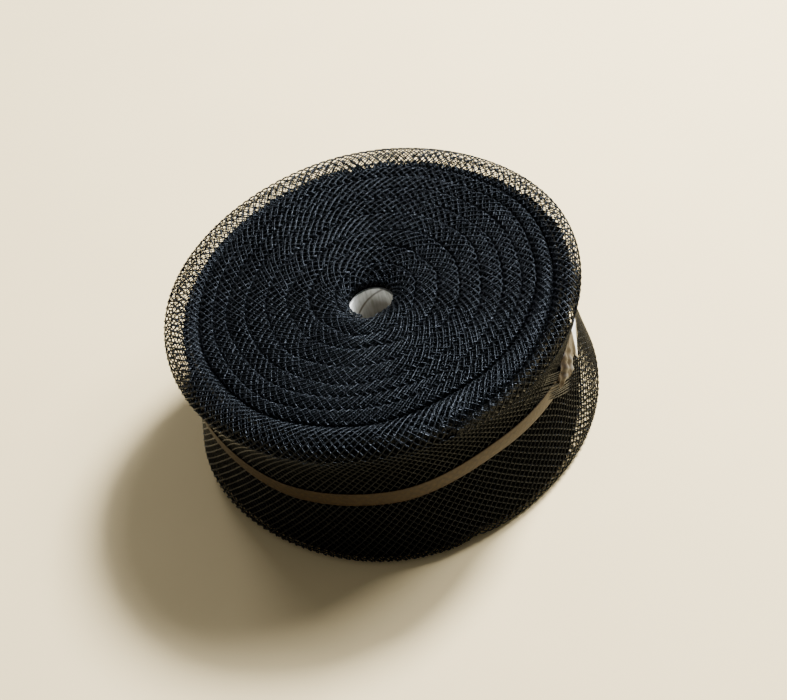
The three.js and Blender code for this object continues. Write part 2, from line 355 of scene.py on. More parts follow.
def winding_table():
    """Length of net wound at each turn of the table, from the last turn: the running sum of the fold's middle
    circumference, which on the outermost turn is the same all round."""
    middle = (groove_radius(UpperFace, TABLE_TURNS - 1) + groove_radius(UpperFace, TABLE_TURNS)) / 2
    middle = middle + (OUTER_LOOP_RADIUS - middle) * smoothstep((TABLE_TURNS - LAST_TURN + 0.1) / 0.1)
    length = np.concatenate([[0], np.cumsum((middle[1:] + middle[:-1]) / 2 * np.diff(TABLE_TURNS))]) * 2 * np.pi
    return length - np.interp(LAST_TURN, TABLE_TURNS, length)


TABLE_LENGTHS = winding_table()


def turn_at(length):
    """Turn at a wound length, read between the table's rows."""
    return np.interp(length, TABLE_LENGTHS, TABLE_TURNS)


def length_at(turn):
    """Wound length at a turn, read between the table's rows."""
    return np.interp(turn, TABLE_TURNS, TABLE_LENGTHS)


def new_piece(name, points, *faces, uv=None, smooth=True):
    """A mesh object from points in millimetres and arrays of faces, each array's faces of one number of
    corners. The piece sits at the origin."""
    mesh = bpy.data.meshes.new(name)
    corners = np.concatenate([part.ravel() for part in faces])
    counts = np.concatenate([np.full(len(part), part.shape[1]) for part in faces])
    mesh.vertices.add(len(points))
    mesh.vertices.foreach_set("co", (points / 1000).astype(np.float32).ravel())
    mesh.loops.add(len(corners))
    mesh.loops.foreach_set("vertex_index", corners.astype(np.int32))
    mesh.polygons.add(len(counts))
    mesh.polygons.foreach_set("loop_start", (np.cumsum(counts) - counts).astype(np.int32))
    mesh.polygons.foreach_set("use_smooth", np.full(len(counts), smooth))
    if uv is not None:
        layer = mesh.uv_layers.new(name="real_size")
        layer.data.foreach_set("uv", uv[corners].astype(np.float32).ravel())
    mesh.update(calc_edges=True)
    mesh.validate()
    piece = bpy.data.objects.new(name, mesh)
    bpy.context.scene.collection.objects.link(piece)
    return piece


def grid_quads(rows, columns, wrap_rows, wrap_columns):
    """Corners of the quads between the rows and columns of a grid of points, numbered row by row."""
    i, j = np.meshgrid(np.arange(rows - (not wrap_rows)), np.arange(columns - (not wrap_columns)), indexing="ij")
    after, beside = (i + 1) % rows, (j + 1) % columns
    return np.stack([i * columns + j, i * columns + beside, after * columns + beside,
                     after * columns + j], -1).reshape(-1, 4)


def unit(vectors):
    """Vectors divided by their own length."""
    return vectors / np.maximum(np.linalg.norm(vectors, axis=-1, keepdims=True), 1e-9)


def swept(paths, away, half_width, sides=4):
    """Closed strands along many paths at once: their points and their faces.

    Paths is strand by point by 3. Each point's section is an ellipse of so many sides: its height lies in the
    direction away from the net's inside, square to the path, and its width across both. Height is a fixed
    share of width.
    """
    half_height = STRAND_FLATNESS * half_width
    forward = unit(np.gradient(paths, axis=1))
    across = unit(np.cross(forward, away))
    outward = np.cross(across, forward)
    turned = 2 * np.pi * (np.arange(sides) + 0.25 * (sides == 3)) / sides
    points = (paths[:, :, None] + (across * half_width[..., None])[:, :, None] * np.cos(turned)[:, None]
              + (outward * half_height[..., None])[:, :, None] * np.sin(turned)[:, None])
    strands, count = paths.shape[:2]
    shift = (np.arange(strands) * count * sides)[:, None, None]
    around = (grid_quads(count, sides, False, True)[:, ::-1] + shift).reshape(-1, 4)
    corner = np.arange(sides)
    ends = (np.stack([corner, corner[::-1] + (count - 1) * sides]) + shift).reshape(-1, sides)
    return points.reshape(-1, 3), around, ends


STRAND_FLATNESS = 0.85
KNOT_FACES = np.array([(0, 2, 4), (2, 1, 4), (1, 3, 4), (3, 0, 4), (2, 0, 5), (1, 2, 5), (3, 1, 5), (0, 3, 5)])


def knots(centres, along, away, settings, seed):
    """Flat joints where strands cross: six points each, two along the net, two across it and two away from
    and into it, with eight faces between them. Lengths and turns vary a little from joint to joint."""
    generator = np.random.default_rng(seed)
    half = settings.knot_length * 500 * generator.uniform(0.8, 1.2, (len(centres), 1))
    away = unit(away)
    across = unit(np.cross(away, along))
    swing = generator.uniform(-0.5, 0.5, (len(centres), 1))
    long = unit(np.cross(across, away)) * np.cos(swing) + across * np.sin(swing)
    wide = np.cross(away, long)
    arms = np.stack([long * half, -long * half, wide * half * 0.8, -wide * half * 0.8,
                     away * 0.62 + 0 * half, -away * 0.62 + 0 * half], 1)
    points = centres[:, None] + arms
    return points.reshape(-1, 3), (KNOT_FACES[None] + 6 * np.arange(len(centres))[:, None, None]).reshape(-1, 3)


def joined(parts):
    """One array of points and one array of faces for each number of corners, from several parts."""
    points, faces, start = [], {}, 0
    for own_points, *own_faces in parts:
        points.append(own_points)
        for part in own_faces:
            faces.setdefault(part.shape[1], []).append(part + start)
        start += len(own_points)
    return np.concatenate(points), *(np.concatenate(part) for part in faces.values())


def give_attribute(piece, name, values):
    """Stores one number for each point of the piece."""
    layer = piece.data.attributes.new(name, "FLOAT", "POINT")
    layer.data.foreach_set("value", values.astype(np.float32).ravel())


def finish_piece(piece, material, slot, *replaced):
    """Gives the piece its material and its body, and hides the CAD nodes it stands for. The slot is not used."""
    piece.data.materials.append(material)
    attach(piece, "root")
    if replaced:
        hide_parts(*replaced)


def add_node(tree, kind, sockets=None, links=None, stops=(), **settings):
    """Adds one node with its settings, its sockets' values, its ramp's places and colours, and links from
    other nodes' outputs. A colour mix has its factor at socket 0 and its colours at 6 and 7."""
    node = tree.nodes.new(kind)
    for name, value in settings.items():
        setattr(node, name, value)
    for name, value in (sockets or {}).items():
        node.inputs[name].default_value = value
    for name, (source, output) in (links or {}).items():
        tree.links.new(source.outputs[output], node.inputs[name])
    for element, (place, colour) in zip(node.color_ramp.elements if stops else (), stops):
        element.color, element.position = colour, place
    return node


def new_material(name, colour):
    """An empty node material with its viewport colour, and its tree."""
    material = bpy.data.materials.new(name)
    material.use_nodes = True
    material.diffuse_color = colour
    material.node_tree.nodes.clear()
    return material, material.node_tree


def crossed_lines(tree, place, pitch, distortion):
    """Bright lines on both diagonals, a mesh pitch apart along the net, on a map in millimetres. The wave
    texture repeats every pi over ten times its scale."""
    lines = []
    for lean in (45, -45):
        turned = add_node(tree, "ShaderNodeMapping", {"Rotation": (0, 0, np.radians(lean))},
                          {"Vector": (place, "UV")})
        sockets = {"Scale": np.pi / 10 / (pitch * np.sqrt(0.5)), "Distortion": distortion}
        lines.append(add_node(tree, "ShaderNodeTexWave", sockets, {"Vector": (turned, "Vector")}))
    return add_node(tree, "ShaderNodeMath", links={0: (lines[0], "Fac"), 1: (lines[1], "Fac")},
                    operation="MAXIMUM")


def black_polyethylene(net):
    """Extruded black polyethylene: carbon black under a smooth, slightly waxy skin, so it shows little but its
    own gloss, a grey glint along each strand that breaks up where the die left it uneven, every millimetre."""
    material, tree = new_material("extruded_black_polyethylene", net.colour)
    place = add_node(tree, "ShaderNodeTexCoord")
    uneven = add_node(tree, "ShaderNodeTexNoise", {"Scale": 800.0, "Detail": 2.0}, {"Vector": (place, "Object")})
    batch = add_node(tree, "ShaderNodeTexNoise", {"Scale": 28.0, "Detail": 3.0}, {"Vector": (place, "Object")})
    tone = add_node(tree, "ShaderNodeValToRGB", links={"Fac": (batch, "Fac")},
                    stops=((0.0, net.colour), (1.0, net.thin_colour)))
    gloss = add_node(tree, "ShaderNodeMapRange", {"To Min": 0.16, "To Max": 0.42}, {"Value": (uneven, "Fac")})
    bump = add_node(tree, "ShaderNodeBump", {"Strength": 1.0, "Distance": 0.0007}, {"Height": (uneven, "Fac")})
    skin = add_node(tree, "ShaderNodeBsdfPrincipled",
                    {"IOR": 1.51, "Specular IOR Level": 0.17, "Specular Tint": net.gloss_colour},
                    {"Base Color": (tone, "Color"), "Roughness": (gloss, "Result"), "Normal": (bump, "Normal")})
    add_node(tree, "ShaderNodeOutputMaterial", links={"Surface": (skin, "BSDF")})
    return material


def packed_net(net):
    """The turns packed under the outer strands: too deep for light, so near black, with the crossed strands of
    the layers below only just lighter, at the net's own pitch."""
    material, tree = new_material("packed_black_net", net.colour)
    place = add_node(tree, "ShaderNodeUVMap", uv_map="real_size")
    crossed = crossed_lines(tree, place, net.mesh_pitch * 1000, 0.6)
    sharp = add_node(tree, "ShaderNodeMapRange", {"From Min": 0.78, "From Max": 1.0},
                     {"Value": (crossed, "Value")})
    tone = add_node(tree, "ShaderNodeValToRGB", links={"Fac": (sharp, "Result")},
                    stops=((0.0, linear("010101")), (1.0, net.colour)))
    bump = add_node(tree, "ShaderNodeBump", {"Strength": 0.6, "Distance": 0.0008}, {"Height": (sharp, "Result")})
    skin = add_node(tree, "ShaderNodeBsdfPrincipled", {"Roughness": 0.9, "IOR": 1.51, "Specular IOR Level": 0.02},
                    {"Base Color": (tone, "Color"), "Normal": (bump, "Normal")})
    add_node(tree, "ShaderNodeOutputMaterial", links={"Surface": (skin, "BSDF")})
    return material


def packing_film(tape, pitch):
    """Polypropylene packing tape: a thin glossy film over tan adhesive. The net presses through it as faint uneven
    diamonds, darker where a strand touches. Where the film is slack it turns pale: painted glare where the lifted
    film faces the key light, and on the crumpled ridges partly the film's own silvery look and partly painted
    glints."""
    material, tree = new_material("polypropylene_packing_tape", tape.colour)
    place = add_node(tree, "ShaderNodeUVMap", uv_map="real_size")
    crossed = crossed_lines(tree, place, pitch, 2.5)
    mottle = add_node(tree, "ShaderNodeTexNoise", {"Scale": 0.35, "Detail": 5.0, "Roughness": 0.65},
                      {"Vector": (place, "UV")})
    faint = add_node(tree, "ShaderNodeMath", {1: 0.22}, {0: (crossed, "Value")}, operation="MULTIPLY")
    worn = add_node(tree, "ShaderNodeMath", links={0: (faint, "Value"), 1: (mottle, "Fac")}, operation="ADD")
    tan = add_node(tree, "ShaderNodeValToRGB", links={"Fac": (worn, "Value")},
                   stops=((0.35, tape.colour), (0.9, tape.pressed_colour)))
    # The crumpled attribute carries painted glare on the slack film as well as the crumpled film's own pale look.
    pale = add_node(tree, "ShaderNodeAttribute", attribute_name="crumpled")
    streak = add_node(tree, "ShaderNodeMapRange",
                      {"From Min": 0.3, "From Max": 0.75, "To Min": 1.0, "To Max": 0.62}, {"Value": (mottle, "Fac")})
    clear = add_node(tree, "ShaderNodeMath", links={0: (pale, "Fac"), 1: (streak, "Result")},
                     operation="MULTIPLY")
    tone = add_node(tree, "ShaderNodeMix", {7: tape.crumple_and_glare_colour}, {0: (clear, "Value"), 6: (tan, "Color")},
                    data_type="RGBA")
    bump = add_node(tree, "ShaderNodeBump", {"Strength": 0.35, "Distance": 0.0005}, {"Height": (worn, "Value")})
    skin = add_node(tree, "ShaderNodeBsdfPrincipled", {"Roughness": 0.45, "IOR": 1.49, "Specular IOR Level": 0.18},
                    {"Base Color": (tone, 2), "Normal": (bump, "Normal")})
    add_node(tree, "ShaderNodeOutputMaterial", links={"Surface": (skin, "BSDF")})
    return material


def grey_board(core):
    """Spiral-wound board with a smooth paper lining: matt with a slight sheen, streaked up and down by the
    winding mandrel every millimetre or so, with short fibres and a few darker flecks."""
    material, tree = new_material("spiral_wound_board", core.colour)
    place = add_node(tree, "ShaderNodeTexCoord")
    stretched = add_node(tree, "ShaderNodeMapping", {"Scale": (1.0, 1.0, 0.12)}, {"Vector": (place, "Object")})
    streak = add_node(tree, "ShaderNodeTexNoise", {"Scale": 600.0, "Detail": 3.0},
                      {"Vector": (stretched, "Vector")})
    cloud = add_node(tree, "ShaderNodeTexNoise", {"Scale": 90.0, "Detail": 3.0}, {"Vector": (place, "Object")})
    mixed = add_node(tree, "ShaderNodeMath", links={0: (streak, "Fac"), 1: (cloud, "Fac")}, operation="MULTIPLY")
    paper = add_node(tree, "ShaderNodeValToRGB", links={"Fac": (mixed, "Value")},
                     stops=((0.05, core.fibre_colour), (0.3, core.colour)))
    # Mixes in the lap's bare board and the painted shade lower down in the tube.
    bare = add_node(tree, "ShaderNodeAttribute", attribute_name="lap_and_painted_shade")
    tone = add_node(tree, "ShaderNodeMix", {7: core.lap_and_shade_colour}, {0: (bare, "Fac"), 6: (paper, "Color")},
                    data_type="RGBA")
    bump = add_node(tree, "ShaderNodeBump", {"Strength": 0.35, "Distance": 0.0002}, {"Height": (streak, "Fac")})
    skin = add_node(tree, "ShaderNodeBsdfPrincipled", {"Roughness": 0.5, "IOR": 1.5},
                    {"Base Color": (tone, 2), "Normal": (bump, "Normal")})
    add_node(tree, "ShaderNodeOutputMaterial", links={"Surface": (skin, "BSDF")})
    return material


def studio_floor(stage):
    """Matt painted studio floor: one pale colour with a trace of mottle every 10 cm or so."""
    material, tree = new_material("matt_painted_floor", stage.floor_colour)
    place = add_node(tree, "ShaderNodeTexCoord")
    cloud = add_node(tree, "ShaderNodeTexNoise", {"Scale": 9.0, "Detail": 2.0}, {"Vector": (place, "Object")})
    darker = (*(0.97 * value for value in stage.floor_colour[:3]), 1.0)
    tone = add_node(tree, "ShaderNodeValToRGB", links={"Fac": (cloud, "Fac")},
                    stops=((0.3, darker), (0.7, stage.floor_colour)))
    skin = add_node(tree, "ShaderNodeBsdfPrincipled", {"Roughness": 0.85, "Specular IOR Level": 0.2},
                    {"Base Color": (tone, "Color")})
    add_node(tree, "ShaderNodeOutputMaterial", links={"Surface": (skin, "BSDF")})
    return material


def fold_lengths(settings):
    """Wound lengths, a mesh pitch apart, at which strands meet the folds' outer edges."""
    pitch = loop_pitch(settings)
    first, last = np.floor(length_at(np.array([FIRST_STRAND_TURN, LAST_STRAND_TURN])) / pitch)
    return np.arange(first, last) * pitch


def fold_run(face, turn, around, inset, reach=1.0):
    """Distance along the fold's section from each point to its outer edge."""
    radius, z = fold_section(face, turn, around, 0, inset, reach)
    step = np.hypot(np.diff(radius, axis=1), np.diff(z, axis=1))
    return np.concatenate([np.cumsum(step[:, ::-1], 1)[:, ::-1], np.zeros((len(turn), 1))], 1)


def outward_and_up(face, angle, around):
    """Directions away from a fold's inside."""
    spread, rise = -np.cos(np.radians(around)) + 0 * angle, face.side * np.sin(np.radians(around)) + 0 * angle
    return np.stack([spread * np.cos(np.radians(angle)), spread * np.sin(np.radians(angle)), rise], -1)


def half_widths(settings, count, generator):
    """Half the width of each strand in millimetres, which varies by a sixth."""
    return settings.strand_width * 500 * generator.uniform(0.84, 1.16, (count, 1))


def away_from_axis(angle):
    """Directions straight out from the core's axis."""
    return polar(1, angle, 0) - AXIS


def fold_strands(face, edge_lengths, lean, arc_points, inset, settings, seed, sides=4, reach=1.0):
    """Strands over a face's folds.

    Each strand meets the fold's outer edge at its own wound length. Going inwards it leans back along the net
    by as much as it has run across it, so it lies at 45 degrees when the sleeve is flat. Its legs go down
    between the turns. A slow wave of under half a millimetre bends it, and its width varies by a sixth.
    """
    generator = np.random.default_rng(seed)
    around = np.concatenate([[0], np.linspace(0, 180, arc_points), [180]])[None]
    turn = turn_at(edge_lengths)[:, None]
    width = groove_radius(face, turn) - groove_radius(face, turn - 1)
    inner_leg = 3.0 + 15 * smoothstep((turn - LAST_TURN + 0.1) / 0.2) * smoothstep((width - 6) / 8)
    outer_leg = np.where((turn < LAST_TURN) | (reach < 1), 3.0, 0.4)
    drop = np.concatenate([inner_leg, np.zeros((len(turn), arc_points)), outer_leg], 1)
    run = fold_run(face, turn, around[:, 1:-1], inset, reach)
    run = np.concatenate([run[:, :1] + inner_leg, run, -outer_leg], 1)
    sway = 0.4 * np.sin(run / 3 + generator.uniform(0, 2 * np.pi, (len(turn), 1)))
    turn = turn_at(edge_lengths[:, None] - face.side * lean * run + sway)
    turn = np.clip(turn, FIRST_STRAND_TURN, LAST_STRAND_TURN)
    radius, z = fold_section(face, turn, around, drop, inset, reach)
    angle = turn_angle(turn)
    half = half_widths(settings, len(turn), generator) * (0.85 if reach < 1 else 1.0) + 0 * run
    return swept(polar(radius, angle, z), outward_and_up(face, angle, around), half, sides)


def fold_knots(face, edge_lengths, first_turn, inset, settings, seed):
    """Joints over a face's folds: every half pitch across a fold, half a pitch further along the net."""
    pitch = loop_pitch(settings)
    around = np.linspace(0, 180, 25)[None]
    centres, along, away = [], [], []
    for step in range(14):
        turn = turn_at(edge_lengths + (step % 2) * pitch / 2)
        turn = turn[(turn > first_turn) & (turn < LAST_STRAND_TURN)][:, None]
        run = fold_run(face, turn, around, inset)
        across = step * pitch / 2
        turn, run = turn[run[:, 0] > across + 0.3], run[run[:, 0] > across + 0.3]
        past = np.clip((run > across).sum(1)[:, None], 1, 24)
        near, far = np.take_along_axis(run, past - 1, 1), np.take_along_axis(run, past, 1)
        place = (past - 1 + (near - across) / np.maximum(near - far, 1e-6)) * 180 / 24
        radius, z = fold_section(face, turn, place, 0, inset)
        angle = turn_angle(turn)
        centres.append(polar(radius, angle, z)[:, 0])
        along.append(np.stack([np.sin(np.radians(angle)), -np.cos(np.radians(angle)), 0 * angle], -1)[:, 0])
        away.append(outward_and_up(face, angle, place)[:, 0])
    return knots(np.concatenate(centres), np.concatenate(along), np.concatenate(away), settings, seed)


def loop_pitch(settings):
    """Mesh pitch in millimetres, evened so that a whole number fits round the outermost turn."""
    around = 2 * np.pi * OUTER_LOOP_RADIUS
    return around / round(around / (settings.mesh_pitch * 1000))


def crossed_folds(face, edge_lengths, arc_points, insets, settings, seed, sides=4, reach=1.0):
    """Both families of strands over a face's folds, each at its own inset."""
    return [fold_strands(face, edge_lengths, lean, arc_points, inset, settings, seed + (lean < 0), sides, reach)
            for lean, inset in zip((1, -1), insets)]


def net_piece(name, parts, *replaced):
    """Finishes a piece of bare net from its parts."""
    finish_piece(new_piece(name, *joined(parts)), material_for("net"), "netting", *replaced)
    return {"FINISHED"}


class NETROLL_OT_upper_folds(bpy.types.Operator):
    """Lays the crossed strands and their joints over the folded upper edges of all turns"""

    bl_idname = "netroll.upper_folds"
    bl_label = "Upper Folds"

    def execute(self, context):
        settings = context.scene.netroll_net
        edges = fold_lengths(settings)
        parts = crossed_folds(UpperFace, edges, 9, OUTER_INSETS, settings, 11)
        parts.append(fold_knots(UpperFace, edges, 0.4, JOINT_INSET, settings, 13))
        return net_piece("upper_net_folds", parts, "netting_roll")


class NETROLL_OT_inner_folds(bpy.types.Operator):
    """Lays the sleeve's second wall, half a pitch along, and strands that fill the outermost fold's inner side"""

    bl_idname = "netroll.inner_folds"
    bl_label = "Inner Folds"

    def execute(self, context):
        settings = context.scene.netroll_net
        pitch = loop_pitch(settings)
        edges = fold_lengths(settings) + pitch / 2
        parts = crossed_folds(UpperFace, edges, 7, INNER_INSETS, settings, 21, 3, 0.85)
        outermost = edges[turn_at(edges) > LAST_TURN - 0.2]
        for quarter, inset, seed in zip((-1, 1), FILLING_INSETS, (23, 25)):
            between = outermost + quarter * pitch / 4
            parts += crossed_folds(UpperFace, between, 7, (inset, inset), settings, seed, 3, 0.38)
        return net_piece("inner_net_folds", parts, "netting_roll")


class NETROLL_OT_lower_folds(bpy.types.Operator):
    """Lays the crossed strands over the folded lower edges, which the roll stands on"""

    bl_idname = "netroll.lower_folds"
    bl_label = "Lower Folds"

    def execute(self, context):
        settings = context.scene.netroll_net
        edges = fold_lengths(settings)
        parts = crossed_folds(LowerFace, edges, 7, OUTER_INSETS, settings, 31, 3)
        parts.append(fold_knots(LowerFace, edges, LAST_TURN - 0.2, JOINT_INSET, settings, 33))
        edges = edges[turn_at(edges) > LAST_TURN - 0.5] + loop_pitch(settings) / 2
        parts += crossed_folds(LowerFace, edges, 7, INNER_INSETS, settings, 34, 3, 0.3)
        return net_piece("lower_net_folds", parts, "netting_roll")


def wall_levels():
    """Heights down the outer wall at even distances along it, by the share of the way from rim to rim."""
    levels = np.linspace(UPPER_RIM_Z, LOWER_RIM_Z, 400)
    run = np.concatenate([[0], np.cumsum(np.hypot(np.diff(levels), np.diff(wall_radius(90, levels))))])
    return lambda share: np.interp(share * run[-1], run, levels)


class NETROLL_OT_outer_wall(bpy.types.Operator):
    """Lays the crossed strands down the outer wall, drawn in at the waist and towards the gathered end"""

    bl_idname = "netroll.outer_wall"
    bl_label = "Outer Wall"

    def execute(self, context):
        settings = context.scene.netroll_net
        pitch, level = loop_pitch(settings), wall_levels()
        count = round(2 * np.pi * OUTER_LOOP_RADIUS / pitch)
        share = np.linspace(0, 1, WALL_CROSSINGS + 1)[None]
        edges = (np.arange(count) * pitch)[:, None]
        generator = np.random.default_rng(41)
        parts = []
        for lean, inset in zip((1, -1), OUTER_INSETS):
            run = edges + lean * WALL_CROSSINGS / 2 * pitch * share
            angle = FRONT_ANGLE - np.degrees(run / OUTER_LOOP_RADIUS)
            z = level(share) + 0 * angle
            angle = gathered(angle, z)
            half = half_widths(settings, count, generator) + 0 * z
            parts.append(swept(polar(wall_radius(angle, z) - inset, angle, z), away_from_axis(angle), half))
        step, along = np.meshgrid(np.arange(1, WALL_CROSSINGS), np.arange(count))
        z = level(step.ravel() / WALL_CROSSINGS)
        angle = gathered(FRONT_ANGLE - np.degrees((along + step % 2 / 2).ravel() * pitch / OUTER_LOOP_RADIUS), z)
        away = away_from_axis(angle)
        centres = polar(wall_radius(angle, z) - JOINT_INSET, angle, z)
        parts.append(knots(centres, np.cross([0, 0, 1.0], away), away, settings, 42))
        return net_piece("outer_net_wall", parts, "netting_roll")


def part_turn(angle):
    """Part of a turn wound at an angle, clockwise from the front."""
    return ((FRONT_ANGLE - angle) / 360) % 1


def hollow_share(angle):
    """Wound share where the hollow of the outermost loop begins, by the angle.

    Clockwise from the front it follows the groove inside the outermost turn, and behind the gathered end it
    steps in by one turn, because the outermost turn starts there.
    """
    progress = part_turn(angle)
    step = smoothstep((progress - 0.80) / 0.1)
    return wound_share(7 + progress) * (1 - step) + wound_share(6 + progress) * step


def lobe(angle, centre, reach):
    """A bell curve over the angle round a centre."""
    return np.exp(-((offset_from(angle, centre) / reach) ** 2))


def narrowed(radius, angle, lobes):
    """A radius less each lobe's width times its bell curve over the angle."""
    for width, centre, reach in lobes:
        radius = radius - width * lobe(angle, centre, reach)
    return radius


def packed_height(face, radius, angle, sunk, hollow):
    """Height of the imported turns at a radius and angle, and their map: each lies between two grooves and rises
    from groove to crest with a power of the sine across it. All are sunk under the strands, and past the last
    packed groove they are sunk by the hollow as well."""
    progress = part_turn(angle)
    rings = np.arange(-1, LAST_TURN + 1)
    grooves = wound_share(progress[..., None] + rings)
    grooves[..., 0] = 0
    share = (radius - face.mouth) / (face.rim(angle) - face.mouth)
    ring = np.clip((grooves <= share[..., None]).sum(-1), 1, len(rings) - 1)
    low = np.take_along_axis(grooves, ring[..., None] - 1, -1)[..., 0]
    high = np.take_along_axis(grooves, ring[..., None], -1)[..., 0]
    across = np.clip((share - low) / np.maximum(high - low, 1e-6), 0, 1)
    width = (high - low) * (face.rim(angle) - face.mouth)
    turn = progress + ring
    fullness = (4 * across * (1 - across)) ** (fold_power(face, turn) / 2)
    fullness = fullness * np.minimum(1, width / NARROWEST_FULL_FOLD)
    settled, lean = settling(face, turn)
    crest = face.crest(radius) - face.side * (settled + lean * (across - 0.5))
    z = face.groove(radius) + (crest - face.groove(radius)) * fullness
    past = smoothstep((share - hollow_share(angle)) * (RIM_RADIUS - MOUTH_RADIUS) / 7)
    length = length_at(progress + ring - 1)
    z = z - face.side * (sunk + hollow * past + mouth_slope(face, radius))
    return z, np.stack([length, (across - 0.5) * 22], -1)


class NETROLL_OT_packed_turns(bpy.types.Operator):
    """Builds the dark packed turns under the strands, open where the outermost loop is hollow"""

    bl_idname = "netroll.packed_turns"
    bl_label = "Packed Turns"

    def execute(self, context):
        angle = np.arange(0, 360, 0.5)[None]
        ragged = np.random.default_rng(51).uniform(-1.8, 1.8, (2, angle.size))
        upper_edge = narrowed(upper_rim(angle) - UPPER_MARGIN, angle, UPPER_MARGIN_LOBES) + ragged[:1]
        right = 1 - smoothstep((np.abs(offset_from(angle, 0)) - RIGHT_HALF_WIDTH) / RIGHT_FADE)
        lower_edge = narrowed(lower_rim(angle) - LOWER_MARGIN - RIGHT_MARGIN * right, angle, LOWER_MARGIN_LOBES)
        lower_edge = lower_edge + ragged[1:] * (0.4 + 0.6 * right)
        rows, uvs = [], []
        across = np.linspace(0, 1, FACE_ROWS)[:, None]
        radius = MOUTH_RADIUS + 1.2 + (upper_edge - MOUTH_RADIUS - 1.2) * across
        z, uv = packed_height(UpperFace, radius, angle + 0 * radius, UPPER_SUNK, UPPER_HOLLOW)
        rows.append(polar(radius, angle, z))
        uvs.append(uv)
        down = np.linspace(0, 1, WALL_ROWS)[1:-1, None]
        radius_low = LowerFace.mouth + 1.2 + (lower_edge - LowerFace.mouth - 1.2) * across[::-1][::2]
        low_z, low_uv = packed_height(LowerFace, radius_low, angle + 0 * radius_low, LOWER_SUNK, LOWER_HOLLOW)
        side_z = z[-1:] + (low_z[:1] - z[-1:]) * down
        waist = wall_radius(angle + 0 * side_z, side_z) - 2.4 - 2.5 * lobe(angle, 0, 35)
        side = np.minimum(waist, np.where(side_z > WAIST_Z, upper_edge, lower_edge))
        near = np.minimum(down, 1 - down) * (WALL_ROWS - 1)
        side = side - 1.2 * np.maximum(0, 1 - near / 2) ** 2
        rows.append(polar(side, angle, side_z))
        uvs.append(np.stack([-np.radians(angle + 0 * side_z) * OUTER_LOOP_RADIUS, side_z], -1))
        rows.append(polar(radius_low, angle, low_z))
        uvs.append(low_uv)
        bore_r = np.array([CORE_OUTER_RADIUS + 0.8, CORE_OUTER_RADIUS + 0.8, MOUTH_RADIUS + 1.0])[:, None]
        bore_z = np.array([8.0, 108.6, 109.4])[:, None]
        rows.append(polar(bore_r, angle, bore_z))
        uvs.append(np.stack([np.radians(angle + 0 * bore_z) * 20, bore_z + 0 * angle], -1))
        points, uv = np.concatenate(rows), np.concatenate(uvs)
        quads = grid_quads(*points.shape[:2], True, True)
        piece = new_piece("packed_net_turns", points.reshape(-1, 3), quads, uv=uv.reshape(-1, 2))
        finish_piece(piece, material_for("packed"), "netting", "netting_roll")
        return {"FINISHED"}


class NETROLL_OT_gathered_end(bpy.types.Operator):
    """Lays the net's end: parallel strands drawn slantwise over the tape, sunk under the wall at both ends"""

    bl_idname = "netroll.gathered_end"
    bl_label = "Gathered End"

    def execute(self, context):
        settings = context.scene.netroll_net
        neck_angle, neck_z, count, spacing, slope, arc = -40.5, 77.0, 12, 2.2, np.radians(-36), np.radians(14.0)
        along = np.linspace(-1, 1, 30)[None]
        row = (np.arange(count) - (count - 1) / 2)[:, None]
        row = row + np.random.default_rng(7).uniform(-0.25, 0.25, row.shape)
        run = along * arc * WAIST_RADIUS
        side = row * spacing * (0.8 + 0.2 * along**2)
        angle = neck_angle + np.degrees((run - side * np.sin(slope)) / WAIST_RADIUS)
        z = neck_z + run * np.tan(slope) + side * np.cos(slope)
        lift = 3.2 * np.exp(-((along / 0.55) ** 2)) - 2.0
        strands = swept(polar(wall_radius(angle, z) + lift, angle, z), away_from_axis(angle),
                        settings.strand_width * 450 + 0 * z)
        return net_piece("gathered_net_end", [strands])


